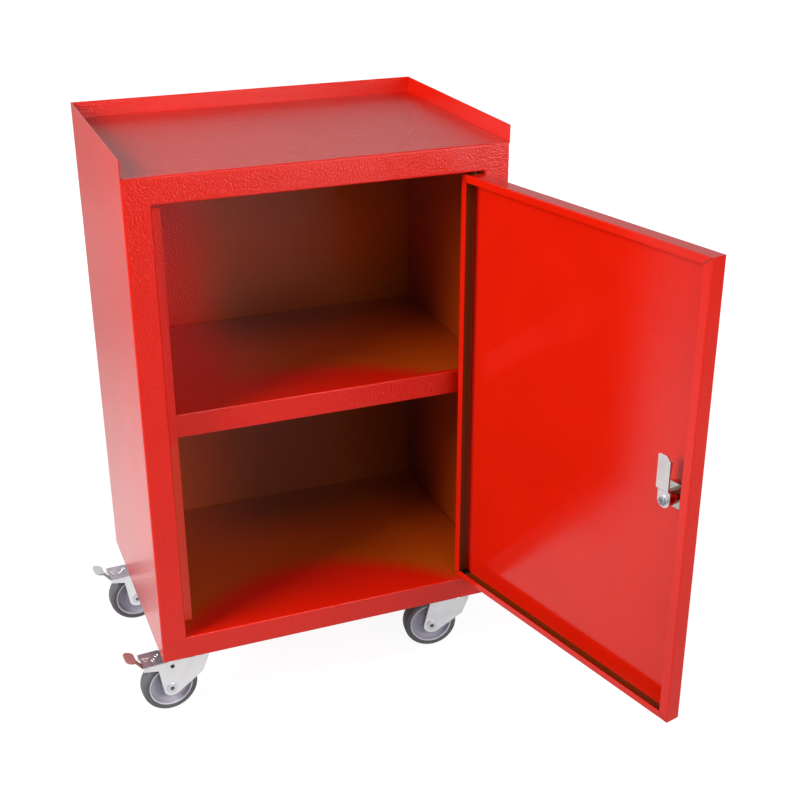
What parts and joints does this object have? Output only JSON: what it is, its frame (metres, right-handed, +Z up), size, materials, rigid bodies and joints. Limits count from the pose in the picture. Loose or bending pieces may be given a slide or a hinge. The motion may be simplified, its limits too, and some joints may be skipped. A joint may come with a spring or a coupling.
{
  "type": "tool cabinet",
  "caption": "Upright sheet steel tool cabinet with a hinged lockable door, a fixed inner shelf, a lipped tray top and swivel castors, some with foot brakes.",
  "frame": {"origin": "on the floor, at the middle of the cabinet's footprint without its open door", "axes": "+X to the cabinet's right seen from the front, +Y to its back, +Z up"},
  "size_m": [0.6088, 0.7524, 0.804],
  "materials": {
    "base_steel": "powder coated plate in the base",
    "chrome": "polished nickel plating",
    "hub_grey": "grey moulded plastic",
    "red_paint": "semi-gloss powder coat with a fine orange-peel texture",
    "steel_bolt": "zinc plated fastener",
    "tab_grey": "grey dipped pedal",
    "tab_red": "dull red dipped pedal",
    "tyre_grey": "grey non-marking rubber",
    "zinc": "bright zinc plated pressed steel"
  },
  "bodies": {
    "cabinet": {"back_panel": "red_paint", "base_pan": "red_paint", "castor_bolts": "steel_bolt", "castor_nuts": "steel_bolt", "castor_plate_bl": "zinc", "castor_plate_br": "zinc", "castor_plate_fl": "zinc", "castor_plate_fr": "zinc", "corner_plates": "base_steel", "kingpins": "zinc", "left_side": "red_paint", "right_side": "red_paint", "shelf": "red_paint", "tray_top": "red_paint"},
    "door": {"door_pan": "red_paint", "lock_housing": "chrome", "lock_nut": "chrome", "pivot_bolt_lower": "steel_bolt", "pivot_bolt_upper": "steel_bolt", "pivot_nuts": "steel_bolt", "pivot_spacer": "steel_bolt"},
    "lock_barrel": {"cam_screw": "steel_bolt", "cam_washer": "steel_bolt", "lock_cam": "zinc", "lock_plug": "chrome"},
    "swivel_bl": {"axle_bl": "steel_bolt", "brake_pin_bl": "steel_bolt", "brake_plate_bl": "zinc", "brake_rivets_bl": "steel_bolt", "fork_bl": "zinc"},
    "swivel_br": {"axle_br": "steel_bolt", "fork_br": "zinc"},
    "swivel_fl": {"axle_fl": "steel_bolt", "brake_pin_fl": "steel_bolt", "brake_plate_fl": "zinc", "brake_rivets_fl": "steel_bolt", "fork_fl": "zinc"},
    "swivel_fr": {"axle_fr": "steel_bolt", "fork_fr": "zinc"},
    "pedal_bl": {"brake_pedal_bl": "tab_grey"},
    "pedal_fl": {"brake_pedal_fl": "tab_red"},
    "wheel_bl": {"tyre_bl": "tyre_grey", "wheel_hub_bl": "hub_grey"},
    "wheel_br": {"tyre_br": "tyre_grey", "wheel_hub_br": "hub_grey"},
    "wheel_fl": {"tyre_fl": "tyre_grey", "wheel_hub_fl": "hub_grey"},
    "wheel_fr": {"tyre_fr": "tyre_grey", "wheel_hub_fr": "hub_grey"}
  },
  "joints": [
    {"name": "door_hinge", "type": "hinge", "parent": "cabinet", "child": "door", "pos_m": [0.2045, -0.1685, 0.445], "axis": [0, 0, 1], "range_deg": [-104, 14]},
    {"name": "lock_turn", "type": "hinge", "parent": "door", "child": "lock_barrel", "pos_m": [0.30378, -0.53981, 0.443], "axis": [0.9703, 0.2419, 0], "range_deg": [0, 90]},
    {"name": "swivel_fl", "type": "hinge", "parent": "cabinet", "child": "swivel_fl", "pos_m": [-0.202, -0.123, 0.108], "axis": [0, 0, 1], "continuous": true},
    {"name": "roll_fl", "type": "hinge", "parent": "swivel_fl", "child": "wheel_fl", "pos_m": [-0.23691, -0.12544, 0.04], "axis": [-0.0698, 0.9976, 0], "continuous": true},
    {"name": "pedal_fl", "type": "hinge", "parent": "swivel_fl", "child": "pedal_fl", "pos_m": [-0.26684, -0.12753, 0.0797], "axis": [0.0698, -0.9976, 0], "range_deg": [0, 15]},
    {"name": "swivel_fr", "type": "hinge", "parent": "cabinet", "child": "swivel_fr", "pos_m": [0.202, -0.123, 0.108], "axis": [0, 0, 1], "continuous": true},
    {"name": "roll_fr", "type": "hinge", "parent": "swivel_fr", "child": "wheel_fr", "pos_m": [0.16743, -0.11753, 0.04], "axis": [0.1564, 0.9877, 0], "continuous": true},
    {"name": "swivel_bl", "type": "hinge", "parent": "cabinet", "child": "swivel_bl", "pos_m": [-0.202, 0.123, 0.108], "axis": [0, 0, 1], "continuous": true},
    {"name": "roll_bl", "type": "hinge", "parent": "swivel_bl", "child": "wheel_bl", "pos_m": [-0.23697, 0.12147, 0.04], "axis": [-0.0436, 0.999, 0], "continuous": true},
    {"name": "pedal_bl", "type": "hinge", "parent": "swivel_bl", "child": "pedal_bl", "pos_m": [-0.26694, 0.12016, 0.0797], "axis": [0.0436, -0.999, 0], "range_deg": [0, 15]},
    {"name": "swivel_br", "type": "hinge", "parent": "cabinet", "child": "swivel_br", "pos_m": [0.202, 0.123, 0.108], "axis": [0, 0, 1], "continuous": true},
    {"name": "roll_br", "type": "hinge", "parent": "swivel_br", "child": "wheel_br", "pos_m": [0.16743, 0.12848, 0.04], "axis": [0.1564, 0.9877, 0], "continuous": true}
  ]
}
